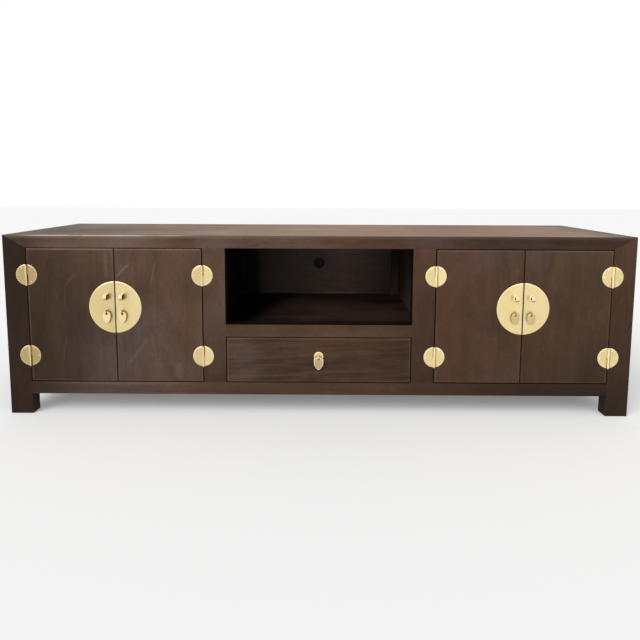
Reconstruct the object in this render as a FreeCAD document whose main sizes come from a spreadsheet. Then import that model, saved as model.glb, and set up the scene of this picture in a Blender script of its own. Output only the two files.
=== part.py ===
import FreeCAD, Part
import Sketcher
import math
import os
import re

# A low kang cabinet in dark wood with brass fittings.
# X runs along its length, its front looks along -Y, and Z is up from the floor.
# The origin is on the floor, under the middle of everything including the fittings.

# Driving dimensions in millimetres
SIZES = {
    # the carcass
    "width": 1800,
    "depth": 450,
    "height": 525,
    "post_width": 64,
    "post_depth": 36,
    "stile_width": 64,
    "rail_height": 36,
    "side_rail_thickness": 36,
    "foot_height": 60,
    "door_bay_width": 504,
    "drawer_bay_height": 136,
    "arris_radius": 1.5,
    # how the carcass is joined
    "tenon_length": 18,
    "tenon_shoulder": 10,
    "groove_depth": 6,
    "side_panel_thickness": 12,
    "side_panel_recess": 8,
    "top_thickness": 14,
    "top_tongue_thickness": 6,
    "board_thickness": 12,
    "board_drop": 12,
    "divider_thickness": 18,
    "rear_stile_thickness": 18,
    "back_thickness": 8,
    "batten_width": 60,
    "stop_width": 12,
    "stop_clearance": 0.5,
    # the cable hole in the back
    "cable_hole_radius": 20,
    "cable_hole_drop": 86,
    # the doors
    "door_thickness": 20,
    "door_gap": 2.5,
    "seam_gap": 3,
    "edge_radius": 1,
    # the drawer
    "drawer_side_thickness": 12,
    "drawer_bottom_thickness": 6,
    "drawer_bottom_rise": 8,
    "drawer_box_height": 108,
    "drawer_back_clearance": 62,
    "drawer_side_gap": 3,
    "drawer_slide_gap": 0.3,
    "runner_rise": 30,
    # the round hinges
    "hinge_radius": 30,
    "hinge_inset": 76,
    "leaf_thickness": 1.5,
    "barrel_radius": 2.6,
    "barrel_clearance": 0.3,
    "barrel_inset": 0.6,
    "knuckle_gap": 0.3,
    "hinge_pin_radius": 1.5,
    "hinge_pin_clearance": 0.1,
    "pin_head_radius": 2.2,
    "pin_head_height": 0.6,
    "pin_tip_height": 2.4,
    "tack_head_radius": 1.9,
    "tack_head_height": 0.9,
    "tack_shank_radius": 0.7,
    "tack_length": 9,
    # the moon plates and the bevel on every plate
    "plate_radius": 75,
    "plate_thickness": 1.5,
    "plate_rise": 25,
    "bevel_width": 2.5,
    "bevel_height": 0.8,
    # the lock eyes
    "eye_reach": 19,
    "eye_height": 17,
    "eye_thickness": 10,
    "eye_hole_radius": 4,
    "eye_offset": 22.5,
    "eye_rise": 31.5,
    "eye_edge_radius": 2,
    # the rings that carry the pulls, and the rivets behind the wood
    "ring_radius": 4.5,
    "wire_radius": 1.2,
    "ring_clearance": 0.8,
    "ring_offset": 22.5,
    "ring_drop": 12.5,
    "shank_radius": 2,
    "rivet_radius": 5,
    "rivet_height": 1.5,
    # the leaf-shaped pendants of the doors
    "leaf_width": 23,
    "leaf_head": 11.5,
    "leaf_side": 3.5,
    "leaf_tip": 21,
    "leaf_room": 8,
    # the shield-shaped pendant of the drawer
    "shield_width": 27.5,
    "shield_head": 6.5,
    "shield_side": 9.5,
    "shield_tip": 22.5,
    "shield_room": 6.5,
    # what both kinds of pendant share
    "pendant_thickness": 2,
    "pendant_edge_radius": 0.6,
    "pendant_corner_radius": 4,
    "pendant_hole_radius": 3,
    "hang_clearance": 0.3,
    "backplate_radius": 13.5,
    "pull_rise": 11,
}

# Tack places round a hinge half, in degrees from the middle of its curve
TACK_ANGLES = (-58, 0, 58)
TACK_CIRCLE_SHARE = 0.8
TACK_CROWN_SHARE = 0.5
# The most that an eased edge may take of the wall it is on
EASED_SHARE = 0.45
BEVEL_SHARE = 0.6

# A sketched curve starts from these before its constraints set it
ROUGH = 20
ROUGH_HALF_ANGLE = math.radians(80)
# Cosines of the angles under which two directions count as one, and two walls as smooth
SAME_WAY = math.cos(math.radians(1))
SMOOTH = math.cos(math.radians(5))
TINY = 0.001

Vector = FreeCAD.Vector
ACROSS, BACKWARD, UP = Vector(1, 0, 0), Vector(0, 1, 0), Vector(0, 0, 1)
FORWARD = -BACKWARD
SIDES = {"left": -1, "right": 1}

# Places worked out from the driving dimensions
FRONT = "((plate_thickness + eye_reach - depth) / 2)"
BACK = f"({FRONT} + depth)"
INSIDE_FRONT = f"({FRONT} + post_depth)"
INSIDE_BACK = f"({BACK} - post_depth)"
FRONT_SPAN = (FRONT, INSIDE_FRONT)
INSIDE_SPAN = (INSIDE_FRONT, INSIDE_BACK)
REAR_SPAN = (INSIDE_BACK, BACK)
SIDE = "(width / 2)"
BAY_OUTER = "(width / 2 - post_width)"
BAY_INNER = f"({BAY_OUTER} - door_bay_width)"
BAY_MIDDLE = f"({BAY_OUTER} - door_bay_width / 2)"
NICHE_SIDE = f"({BAY_INNER} - stile_width)"
STILE_MIDDLE = f"({BAY_INNER} - stile_width / 2)"
DIVIDER_INNER = f"({STILE_MIDDLE} - divider_thickness / 2)"
DIVIDER_OUTER = f"({STILE_MIDDLE} + divider_thickness / 2)"
PANEL_OUTSIDE = f"({SIDE} - side_panel_recess)"
PANEL_INSIDE = f"({PANEL_OUTSIDE} - side_panel_thickness)"
BAY_BOTTOM = "(foot_height + rail_height)"
BAY_TOP = "(height - rail_height)"
BAY_SPAN = (BAY_BOTTOM, BAY_TOP)
ROOF_BOTTOM = "(height - top_thickness)"
DRAWER_TOP = f"({BAY_BOTTOM} + drawer_bay_height)"
NICHE_FLOOR = f"({DRAWER_TOP} + rail_height)"
BOARD_TOP = f"({BAY_BOTTOM} - board_drop)"
BACK_INSIDE = f"({INSIDE_BACK} + rear_stile_thickness)"
DOOR_BACK = f"({FRONT} + door_thickness)"
PLATE_FACE = f"({FRONT} - plate_thickness)"
PLATE_MIDDLE = f"(({BAY_BOTTOM} + {BAY_TOP}) / 2 + plate_rise)"
HINGE_Y = f"({FRONT} - barrel_radius - barrel_clearance)"
LEAF_OFFSET = "(barrel_radius + barrel_clearance)"
BARREL_END = "(hinge_radius - barrel_inset)"
RING_Y = f"({PLATE_FACE} - ring_radius - wire_radius - ring_clearance)"
PULL_MIDDLE = f"(({BAY_BOTTOM} + {DRAWER_TOP}) / 2 + pull_rise)"

doc = FreeCAD.newDocument("kang_cabinet")
nodes = []


# The sheet of driving dimensions
def fill_sheet():
    sheet = doc.addObject("Spreadsheet::Sheet", "Sizes")
    for row, (alias, value) in enumerate(SIZES.items(), start=1):
        sheet.set(f"A{row}", alias)
        sheet.set(f"B{row}", str(value))
        sheet.setAlias(f"B{row}", alias)
    doc.recompute()


# Ties one property of a piece to the sheet
def bind(piece, prop, text):
    def cell(word):
        return f"Sizes.{word.group(0)}" if word.group(0) in SIZES else word.group(0)
    piece.setExpression(prop, re.sub(r"[a-z_]+", cell, str(text)))


def put(piece, x, y, z, axis=UP, angle=0):
    piece.Placement = FreeCAD.Placement(Vector(), FreeCAD.Rotation(axis, angle))
    for letter, text in zip("xyz", (x, y, z)):
        bind(piece, f"Placement.Base.{letter}", text)
    return piece


# Spans along an axis are pairs of a low and a high place
def mirrored(span, side):
    low, high = span
    return (low, high) if side > 0 else (f"-({high})", f"-({low})")


def both_ways(text):
    return f"-({text})", text


def grown(span, length):
    return f"{span[0]} - ({length})", f"{span[1]} + ({length})"


def grooved(span):
    return grown(span, "groove_depth")


def name_node(piece, label):
    piece.Label = label
    nodes.append(piece)


# Plain solids and the ways they are joined
def block(name, xs, ys, zs):
    piece = doc.addObject("Part::Box", name)
    for prop, (low, high) in zip(("Length", "Width", "Height"), (xs, ys, zs)):
        bind(piece, prop, f"{high} - ({low})")
    return put(piece, xs[0], ys[0], zs[0])


def rod(name, radius, length, x, y, z, axis=UP, angle=0):
    piece = doc.addObject("Part::Cylinder", name)
    bind(piece, "Radius", radius)
    bind(piece, "Height", length)
    return put(piece, x, y, z, axis, angle)


def crowned_head(name, radius, height, x, y, z, axis, angle):
    piece = doc.addObject("Part::Cone", name)
    bind(piece, "Radius1", radius)
    bind(piece, "Radius2", f"{radius} * {TACK_CROWN_SHARE}")
    bind(piece, "Height", height)
    return put(piece, x, y, z, axis, angle)


def joined(name, pieces):
    union = doc.addObject("Part::MultiFuse", name)
    union.Shapes = pieces
    union.Refine = True
    return union


def cut(name, piece, tools):
    difference = doc.addObject("Part::Cut", name)
    difference.Base = piece
    difference.Tool = tools[0] if len(tools) == 1 else joined(f"{name}_tools", tools)
    difference.Refine = True
    return difference


def shared(name, piece, other):
    common = doc.addObject("Part::Common", name)
    common.Base = piece
    common.Tool = other
    common.Refine = True
    return common


def group(name, pieces):
    together = doc.addObject("Part::Compound", name)
    together.Links = pieces
    return together


# A member with a stub tenon at both ends, inset by a shoulder all round
def tenoned(name, spans, along):
    core = block(f"{name}_core", *spans)
    inner = [grown(span, "tenon_length" if axis == along else "-tenon_shoulder")
             for axis, span in enumerate(spans)]
    return joined(name, [core, block(f"{name}_tenons", *inner)])


# Sketches and the features that stand on them
def start_body(name, role):
    body = doc.addObject("PartDesign::Body", name)
    sketch = body.newObject("Sketcher::SketchObject", f"{name}_sketch")
    plane = next(item for item in body.Origin.OriginFeatures if item.Role == role)
    sketch.AttachmentSupport = [(plane, "")]
    sketch.MapMode = "FlatFace"
    return body, sketch


def relate(sketch, kind, *places):
    sketch.addConstraint(Sketcher.Constraint(kind, *places))


def dimension(sketch, kind, places, text, start=ROUGH):
    index = sketch.addConstraint(Sketcher.Constraint(kind, *places, start))
    bind(sketch, f"Constraints[{index}]", text)


# Joins the end of each line or arc in a ring to the start of the next
def close_ring(sketch, count):
    for number in range(count):
        relate(sketch, "Coincident", number, 2, (number + 1) % count, 1)


def draw_rectangle(sketch, across, up):
    corners = [Vector(0, 0), Vector(ROUGH, 0), Vector(ROUGH, ROUGH), Vector(0, ROUGH)]
    for start, end in zip(corners, corners[1:] + corners[:1]):
        sketch.addGeometry(Part.LineSegment(start, end))
    close_ring(sketch, len(corners))
    relate(sketch, "Coincident", 0, 1, -1, 1)
    for line, kind in enumerate(("Horizontal", "Vertical", "Horizontal", "Vertical")):
        relate(sketch, kind, line)
    dimension(sketch, "DistanceX", (0, 1, 0, 2), across)
    dimension(sketch, "DistanceY", (1, 1, 1, 2), up)


def draw_circle(sketch, radius):
    index = sketch.addGeometry(Part.Circle(Vector(), UP, ROUGH))
    dimension(sketch, "Radius", (index,), radius)
    return index


def pad(body, sketch, length, reverse=False):
    feature = body.newObject("PartDesign::Pad", f"{body.Name}_pad")
    feature.Profile = sketch
    feature.Reversed = reverse
    bind(feature, "Length", length)
    sketch.Visibility = False
    doc.recompute()
    return feature


def ease(body, base, names, radius):
    feature = body.newObject("PartDesign::Fillet", f"{body.Name}_eased_{len(body.Group)}")
    feature.Base = (base, names)
    bind(feature, "Radius", radius)
    doc.recompute()
    return feature


def faces_looking(shape, direction):
    return [f"Face{number}" for number, face in enumerate(shape.Faces, start=1)
            if isinstance(face.Surface, Part.Plane) and face.normalAt(0, 0).dot(direction) > SAME_WAY]


def edges_where(shape, wanted):
    return [f"Edge{number}" for number, edge in enumerate(shape.Edges, start=1) if wanted(shape, edge)]


def stands_up(shape, edge):
    return isinstance(edge.Curve, Part.Line) and abs(edge.tangentAt(edge.FirstParameter).dot(UP)) > SAME_WAY


# An edge through a plate where two of its walls meet at an angle
def is_corner(shape, edge):
    if not isinstance(edge.Curve, Part.Line):
        return False
    if abs(edge.tangentAt(edge.FirstParameter).dot(BACKWARD)) < SAME_WAY:
        return False
    middle = edge.valueAt((edge.FirstParameter + edge.LastParameter) / 2)
    faces = shape.ancestorsOfType(edge, Part.Face)
    walls = [face.normalAt(*face.Surface.parameter(middle)) for face in faces]
    return len(walls) == 2 and walls[0].dot(walls[1]) < SMOOTH


# An edge round a lug's flat sides, but not where it stands on its plate
def is_lug_rim(shape, edge):
    box = edge.BoundBox
    return box.XLength < TINY and box.YMax > TINY


# A board in the front plane, with its front edges eased
def front_board(name, xs, zs):
    body, sketch = start_body(name, "XZ_Plane")
    draw_rectangle(sketch, f"{xs[1]} - ({xs[0]})", f"{zs[1]} - ({zs[0]})")
    board = pad(body, sketch, "door_thickness", reverse=True)
    ease(body, board, faces_looking(board.Shape, FORWARD), "edge_radius")
    return put(body, xs[0], FRONT, zs[0])


# A flat plate whose front rim is bevelled
def bevelled_plate(body, sketch, thickness):
    plate = pad(body, sketch, thickness)
    bevel = body.newObject("PartDesign::Chamfer", f"{body.Name}_bevel")
    bevel.Base = (plate, faces_looking(plate.Shape, FORWARD))
    bevel.ChamferType = "Two distances"
    bevel.FlipDirection = True
    bind(bevel, "Size", "bevel_width")
    bind(bevel, "Size2", f"min(bevel_height; {thickness} * {BEVEL_SHARE})")
    doc.recompute()


# Half of a round plate, on the +X or -X side of the line that splits it
def half_plate(name, radius, offset, thickness, x, z, side):
    body, sketch = start_body(name, "XZ_Plane")
    circle = Part.Circle(Vector(), UP, SIZES[radius])
    sketch.addGeometry(Part.ArcOfCircle(circle, -ROUGH_HALF_ANGLE, ROUGH_HALF_ANGLE))
    chord = SIZES[radius] * math.cos(ROUGH_HALF_ANGLE)
    rise = SIZES[radius] * math.sin(ROUGH_HALF_ANGLE)
    sketch.addGeometry(Part.LineSegment(Vector(chord, rise), Vector(chord, -rise)))
    relate(sketch, "Coincident", 0, 3, -1, 1)
    close_ring(sketch, 2)
    relate(sketch, "Vertical", 1)
    dimension(sketch, "Radius", (0,), radius, SIZES[radius])
    dimension(sketch, "DistanceX", (-1, 1, 1, 1), offset, chord)
    bevelled_plate(body, sketch, thickness)
    return put(body, x, FRONT, z, BACKWARD, 0 if side > 0 else 180)


def round_plate(name, radius, x, z):
    body, sketch = start_body(name, "XZ_Plane")
    disc = draw_circle(sketch, radius)
    relate(sketch, "Coincident", disc, 3, -1, 1)
    bevelled_plate(body, sketch, "plate_thickness")
    return put(body, x, FRONT, z)


# A shank through the wood with a rivet head behind it
def riveted_shank(name, x, start, z):
    shank = rod(f"{name}_shank", "shank_radius", f"{DOOR_BACK} - {start}", x, start, z, ACROSS, -90)
    rivet = rod(f"{name}_rivet", "rivet_radius", "rivet_height", x, DOOR_BACK, z, ACROSS, -90)
    return [shank, rivet]


# A pierced lug for a padlock
def lock_eye(name, x, z):
    body, sketch = start_body(f"{name}_lug", "YZ_Plane")
    half = ROUGH / 2
    sketch.addGeometry(Part.ArcOfCircle(Part.Circle(Vector(ROUGH, 0), UP, half), -math.pi / 2, math.pi / 2))
    corners = [Vector(ROUGH, half), Vector(0, half), Vector(0, -half), Vector(ROUGH, -half)]
    for start, end in zip(corners, corners[1:]):
        sketch.addGeometry(Part.LineSegment(start, end))
    close_ring(sketch, 4)
    relate(sketch, "PointOnObject", 0, 3, -1)
    relate(sketch, "PointOnObject", 2, 1, -2)
    relate(sketch, "Vertical", 2)
    for line in (1, 3):
        relate(sketch, "Horizontal", line)
    for arc_end in (1, 2):
        relate(sketch, "Vertical", 0, arc_end, 0, 3)
    dimension(sketch, "Radius", (0,), "eye_height / 2")
    dimension(sketch, "DistanceX", (-1, 1, 0, 3), "eye_reach - eye_height / 2")
    hole = draw_circle(sketch, "eye_hole_radius")
    relate(sketch, "Coincident", hole, 3, 0, 3)
    lug = pad(body, sketch, "eye_thickness")
    radius = f"min(eye_edge_radius; (eye_height / 2 - eye_hole_radius) * {EASED_SHARE})"
    ease(body, lug, edges_where(lug.Shape, is_lug_rim), radius)
    put(body, f"{x} + eye_thickness / 2", PLATE_FACE, z, UP, 180)
    return joined(name, [body, *riveted_shank(name, x, PLATE_FACE, z)])


# The ring that a pendant hangs on, standing out of its plate
def pull_ring(name, x, z):
    wire = doc.addObject("Part::Torus", f"{name}_wire")
    bind(wire, "Radius1", "ring_radius")
    bind(wire, "Radius2", "wire_radius")
    put(wire, x, RING_Y, z, BACKWARD, 90)
    return joined(name, [wire, *riveted_shank(name, x, f"({RING_Y} + ring_radius)", z)])


# A pendant that hangs on its ring by the top of its hole, drawn from the level where it is
# widest: a crown above that level, two straight sides, and two curves that meet in the tip
def pendant(name, kind, x, z):
    width, head, side, tip, room = (f"{kind}_{word}" for word in ("width", "head", "side", "tip", "room"))
    body, sketch = start_body(name, "XZ_Plane")
    half = SIZES[width] / 2
    low = -SIZES[side]
    crown = (half ** 2 + SIZES[head] ** 2) / (2 * SIZES[head])
    crown_middle = SIZES[head] - crown
    lean = math.atan2(-crown_middle, half)
    curve = (half ** 2 + SIZES[tip] ** 2) / (2 * half)
    sweep = math.asin(min(1, SIZES[tip] / curve))
    circle = Part.Circle(Vector(0, crown_middle), UP, crown)
    sketch.addGeometry(Part.ArcOfCircle(circle, lean, math.pi - lean))
    sketch.addGeometry(Part.LineSegment(Vector(-half, 0), Vector(-half, low)))
    circle = Part.Circle(Vector(curve - half, low), UP, curve)
    sketch.addGeometry(Part.ArcOfCircle(circle, math.pi, math.pi + sweep))
    circle = Part.Circle(Vector(half - curve, low), UP, curve)
    sketch.addGeometry(Part.ArcOfCircle(circle, -sweep, 0))
    sketch.addGeometry(Part.LineSegment(Vector(half, low), Vector(half, 0)))
    close_ring(sketch, 5)
    for place in ((0, 1, -1), (0, 2, -1), (0, 3, -2), (2, 2, -2)):
        relate(sketch, "PointOnObject", *place)
    for line in (1, 4):
        relate(sketch, "Vertical", line)
    relate(sketch, "Horizontal", 2, 3, 2, 1)
    relate(sketch, "Horizontal", 3, 3, 3, 2)
    drop = f"{head} + {side} + {tip}"
    crown_text = f"(({width} / 2) ^ 2 + {head} ^ 2) / (2 * {head})"
    dimension(sketch, "DistanceX", (0, 2, 0, 1), width, 2 * half)
    dimension(sketch, "DistanceY", (1, 2, 1, 1), side, SIZES[side])
    dimension(sketch, "DistanceY", (2, 2, 2, 1), tip, SIZES[tip])
    dimension(sketch, "DistanceY", (2, 2, 0, 3), f"{drop} - {crown_text}", crown_middle - low + SIZES[tip])
    hole = draw_circle(sketch, "pendant_hole_radius")
    relate(sketch, "PointOnObject", hole, 3, -2)
    dimension(sketch, "DistanceY", (2, 2, hole, 3), f"{drop} - {room}")
    plate = pad(body, sketch, "pendant_thickness")
    rounded = ease(body, plate, edges_where(plate.Shape, is_corner), "pendant_corner_radius")
    flats = faces_looking(rounded.Shape, FORWARD) + faces_looking(rounded.Shape, BACKWARD)
    ease(body, rounded, flats, f"min(pendant_edge_radius; pendant_thickness * {EASED_SHARE})")
    hole_drop = "(pendant_hole_radius - wire_radius - hang_clearance)"
    return put(body, x, f"{RING_Y} + pendant_thickness / 2",
               f"{z} - ring_radius - {hole_drop} + {room} - {head}")


# The tacks that hold one half of a hinge
def hinge_tacks(name, x, z, toward):
    tacks = []
    base = f"{FRONT} - leaf_thickness"
    for number, angle in enumerate(TACK_ANGLES):
        across = toward * TACK_CIRCLE_SHARE * math.cos(math.radians(angle))
        up = TACK_CIRCLE_SHARE * math.sin(math.radians(angle))
        place = (f"{x} + {across} * hinge_radius", base, f"{z} + {up} * hinge_radius")
        shank = rod(f"{name}_shank_{number}", "tack_shank_radius", "tack_length", *place, ACROSS, -90)
        head = crowned_head(f"{name}_head_{number}", "tack_head_radius", "tack_head_height", *place,
                            ACROSS, 90)
        tacks.append(joined(f"{name}_tack_{number}", [shank, head]))
    return tacks


# One half of a hinge: half a disc with a web to its knuckle,
# whose span is measured from the middle of the hinge
def hinge_leaf(name, x, z, toward, span, tacks):
    low, high = span
    disc = half_plate(f"{name}_plate", "hinge_radius", LEAF_OFFSET, "leaf_thickness", x, z, toward)
    knuckle = rod(f"{name}_knuckle", "barrel_radius", f"{high} - ({low})", x, HINGE_Y, f"{z} + ({low})")
    reach = mirrored(("0", f"{LEAF_OFFSET} + bevel_width"), toward)
    web = block(f"{name}_web", (f"{x} + ({reach[0]})", f"{x} + ({reach[1]})"),
                (f"{FRONT} - leaf_thickness", FRONT), (f"{z} + ({low})", f"{z} + ({high})"))
    bore = rod(f"{name}_bore", "hinge_pin_radius + hinge_pin_clearance", f"2 * {BARREL_END}",
               x, HINGE_Y, f"{z} - {BARREL_END}")
    return cut(name, joined(f"{name}_solid", [disc, knuckle, web]), [bore, *tacks])


# A pin with a low head and a longer tip below the disc
def hinge_pin(name, x, z):
    top, bottom = f"{z} + {BARREL_END}", f"{z} - {BARREL_END}"
    shaft = rod(f"{name}_shaft", "hinge_pin_radius", f"2 * {BARREL_END}", x, HINGE_Y, bottom)
    head = crowned_head(f"{name}_head", "pin_head_radius", "pin_head_height", x, HINGE_Y, top, ACROSS, 0)
    tip = crowned_head(f"{name}_tip", "pin_head_radius", "pin_tip_height", x, HINGE_Y, bottom, ACROSS, 180)
    return joined(name, [shaft, head, tip])


# The two hinges of a door: the solids on the door, those on the frame, and the pins.
# The upper knuckle of each hinge is the door's and the lower one the frame's.
def door_hinges(name, x, door_z, toward_door):
    halves = {
        "door": (toward_door, ("knuckle_gap / 2", BARREL_END)),
        "frame": (-toward_door, (f"-{BARREL_END}", "-(knuckle_gap / 2)")),
    }
    leaves = {"door": [], "frame": []}
    tacks = {"door": [], "frame": []}
    pins = []
    for level, z in (("low", f"({door_z[0]} + hinge_inset)"), ("high", f"({door_z[1]} - hinge_inset)")):
        for half, (toward, span) in halves.items():
            stem = f"{name}_{level}_{half}"
            leaf_tacks = hinge_tacks(stem, x, z, toward)
            leaves[half].append(hinge_leaf(f"{stem}_leaf", x, z, toward, span, leaf_tacks))
            tacks[half] += leaf_tacks
        pins.append(hinge_pin(f"{name}_{level}_pin", x, z))
    return leaves, tacks, pins


# One door with everything that is fixed to it; its hinges' other halves go back to the frame
def make_door(word, place):
    name = f"{word}_{place}"
    side = SIDES[word]
    outward = side if place == "outer" else -side
    if place == "outer":
        xs = (f"{BAY_MIDDLE} + seam_gap / 2", f"{BAY_OUTER} - door_gap")
        hinge_x = f"({side} * ({BAY_OUTER} - door_gap / 2))"
    else:
        xs = (f"{BAY_INNER} + door_gap", f"{BAY_MIDDLE} - seam_gap / 2")
        hinge_x = f"({side} * ({BAY_INNER} + door_gap / 2))"
    zs = grown(BAY_SPAN, "-door_gap")
    leaves, tacks, pins = door_hinges(name, hinge_x, zs, -outward)

    seam_x = f"({side} * {BAY_MIDDLE})"
    ring_x = f"({seam_x} + {outward} * ring_offset)"
    ring_z = f"({PLATE_MIDDLE} - ring_drop)"
    eye = lock_eye(f"{name}_eye", f"({seam_x} + {outward} * eye_offset)", f"({PLATE_MIDDLE} + eye_rise)")
    ring = pull_ring(f"{name}_ring", ring_x, ring_z)
    plate = half_plate(f"{name}_moon", "plate_radius", "seam_gap / 2", "plate_thickness",
                       seam_x, PLATE_MIDDLE, outward)
    board = front_board(f"{name}_board", mirrored(xs, side), zs)
    name_node(cut(f"{name}_panel", board, [eye, ring, *tacks["door"]]), f"{name}_door_panel")
    name_node(group(f"{name}_leaves", leaves["door"] + tacks["door"]), f"{name}_door_hinge_leaves")
    name_node(cut(f"{name}_plate", plate, [eye, ring]), f"{name}_face_plate")
    name_node(eye, f"{name}_lock_eye")
    name_node(ring, f"{name}_pull_ring")
    name_node(pendant(f"{name}_hanger", "leaf", ring_x, ring_z), f"{name}_pendant")
    return leaves["frame"], tacks["frame"], pins


# The frame's three-way mitres: each member ends in a pyramid that stands on its own
# cross-section and leans its tip over the frame's outer top corner
def mitre(name, base, reach, tip, corner, axis, angle):
    piece = doc.addObject("Part::Wedge", name)
    spans = {"X": ("0", base[0]), "Y": ("0", reach), "Z": ("0", base[1])}
    for letter, (low, high) in spans.items():
        bind(piece, f"{letter}min", low)
        bind(piece, f"{letter}max", high)
    for letter, place in (("X", tip[0]), ("Z", tip[1])):
        bind(piece, f"{letter}2min", place)
        bind(piece, f"{letter}2max", place)
    return put(piece, *corner, axis, angle)


def leg_solid(name, side, ys, at_back):
    xs = mirrored((BAY_OUTER, SIDE), side)
    shaft = block(f"{name}_shaft", xs, ys, ("0", BAY_TOP))
    tip = ("post_width" if side > 0 else "0", "0" if at_back else "post_depth")
    head = mitre(f"{name}_mitre", ("post_width", "post_depth"), "rail_height", tip,
                 (xs[0], ys[1], BAY_TOP), ACROSS, 90)
    return joined(f"{name}_solid", [shaft, head])


def long_rail_solid(name, ys, at_back):
    core = block(f"{name}_core", both_ways(BAY_OUTER), ys, (BAY_TOP, "height"))
    base = ("post_depth", "rail_height")
    left = mitre(f"{name}_left_mitre", base, "post_width", ("post_depth" if at_back else "0", "rail_height"),
                 (f"-{BAY_OUTER}", ys[0], BAY_TOP), UP, 90)
    right = mitre(f"{name}_right_mitre", base, "post_width",
                  ("0" if at_back else "post_depth", "rail_height"), (BAY_OUTER, ys[1], BAY_TOP), UP, -90)
    return joined(f"{name}_solid", [core, left, right])


def side_rail_solid(name, side):
    xs = mirrored((BAY_OUTER, SIDE), side)
    core = block(f"{name}_core", xs, INSIDE_SPAN, (BAY_TOP, "height"))
    base = ("post_width", "rail_height")
    front = mitre(f"{name}_front_mitre", base, "post_depth",
                  ("0" if side > 0 else "post_width", "rail_height"), (xs[1], INSIDE_FRONT, BAY_TOP), UP, 180)
    back = mitre(f"{name}_back_mitre", base, "post_depth", ("post_width" if side > 0 else "0", "rail_height"),
                 (xs[0], INSIDE_BACK, BAY_TOP), UP, 0)
    return joined(f"{name}_solid", [core, front, back])


# The cabinet's outer box with its arrises eased, which trims the members of the frame
def make_outline():
    body, sketch = start_body("outline", "XY_Plane")
    draw_rectangle(sketch, "width", "depth")
    whole = pad(body, sketch, "height")
    arrises = edges_where(whole.Shape, stands_up) + faces_looking(whole.Shape, UP)
    ease(body, whole, arrises, "arris_radius")
    return put(body, f"-{SIDE}", FRONT, "0")


# The carcass members before they are cut for each other, by name
def draw_members():
    low = ("foot_height", BAY_BOTTOM)
    shelf_z = (f"{NICHE_FLOOR} - board_thickness", NICHE_FLOOR)
    members = {
        "low_front": tenoned("low_front", (both_ways(BAY_OUTER), FRONT_SPAN, low), 0),
        "low_rear": tenoned("low_rear", (both_ways(BAY_OUTER), REAR_SPAN, low), 0),
        "middle": tenoned("middle", (both_ways(NICHE_SIDE), FRONT_SPAN, (DRAWER_TOP, NICHE_FLOOR)), 0),
        "board": block("board", grooved(both_ways(f"({SIDE} - side_rail_thickness)")), grooved(INSIDE_SPAN),
                       (f"{BOARD_TOP} - board_thickness", BOARD_TOP)),
        "shelf": joined("shelf", [
            block("shelf_main", grooved(both_ways(DIVIDER_INNER)),
                  (f"{INSIDE_FRONT} - groove_depth", INSIDE_BACK), shelf_z),
            block("shelf_tail", both_ways(NICHE_SIDE), (INSIDE_BACK, BACK_INSIDE), shelf_z)]),
        "back": draw_back_panel(),
        "roof": block("roof_tongue", grooved(both_ways(BAY_OUTER)), grooved(INSIDE_SPAN), roof_tongue_span()),
    }
    for word, side in SIDES.items():
        rail_x = mirrored((f"{SIDE} - side_rail_thickness", SIDE), side)
        stile_x = mirrored((NICHE_SIDE, BAY_INNER), side)
        members[f"low_{word}"] = tenoned(f"low_{word}", (rail_x, INSIDE_SPAN, low), 1)
        members[f"{word}_panel"] = block(f"{word}_panel", mirrored((PANEL_INSIDE, PANEL_OUTSIDE), side),
                                         grooved(INSIDE_SPAN), grooved(BAY_SPAN))
        members[f"{word}_stile"] = tenoned(f"{word}_stile", (stile_x, FRONT_SPAN, BAY_SPAN), 2)
        members[f"{word}_rear_stile"] = block(f"{word}_rear_stile", stile_x, (INSIDE_BACK, BACK_INSIDE),
                                              BAY_SPAN)
        divider_x = mirrored((DIVIDER_INNER, DIVIDER_OUTER), side)
        members[f"{word}_divider"] = block(f"{word}_partition", divider_x, grooved(INSIDE_SPAN),
                                           (BOARD_TOP, BAY_TOP))
    return members


# The back is one board with a round hole for cables near the top of the niche
def draw_back_panel():
    body, sketch = start_body("back", "XZ_Plane")
    length = f"2 * ({BAY_OUTER} + groove_depth)"
    draw_rectangle(sketch, length, f"{BAY_TOP} - {BAY_BOTTOM} + 2 * groove_depth")
    hole = draw_circle(sketch, "cable_hole_radius")
    dimension(sketch, "DistanceX", (-1, 1, hole, 3), f"{length} / 2")
    dimension(sketch, "DistanceY", (hole, 3, 2, 1), "groove_depth + cable_hole_drop + cable_hole_radius")
    pad(body, sketch, "back_thickness", reverse=True)
    return put(body, f"-({BAY_OUTER} + groove_depth)", BACK_INSIDE, f"{BAY_BOTTOM} - groove_depth")


def roof_tongue_span():
    return ROOF_BOTTOM, f"{ROOF_BOTTOM} + min(top_tongue_thickness; top_thickness / 2)"


def make_legs(members, outline, tacks):
    for word, side in SIDES.items():
        for place, ys in (("front", FRONT_SPAN), ("rear", REAR_SPAN)):
            name = f"{place}_{word}_leg"
            leg = shared(f"{name}_eased", leg_solid(name, side, ys, place == "rear"), outline)
            tools = [members[f"low_{place}"], members[f"low_{word}"], members[f"{word}_panel"],
                     members["board"]]
            tools.append(members["back"] if place == "rear" else tacks[f"{word}_outer"])
            name_node(cut(f"{name}_cut", leg, tools), name)


def make_top_rails(members, outline):
    front = shared("high_front_eased", long_rail_solid("high_front", FRONT_SPAN, False), outline)
    stiles = [members["left_stile"], members["right_stile"]]
    name_node(cut("high_front_cut", front, [*stiles, members["roof"]]), "front_top_rail")
    rear = shared("high_rear_eased", long_rail_solid("high_rear", REAR_SPAN, True), outline)
    name_node(cut("high_rear_cut", rear, [members["back"], members["roof"]]), "rear_top_rail")
    for word, side in SIDES.items():
        rail = shared(f"high_{word}_eased", side_rail_solid(f"high_{word}", side), outline)
        name_node(cut(f"high_{word}_cut", rail, [members[f"{word}_panel"], members["roof"]]),
                  f"{word}_top_rail")


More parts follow.
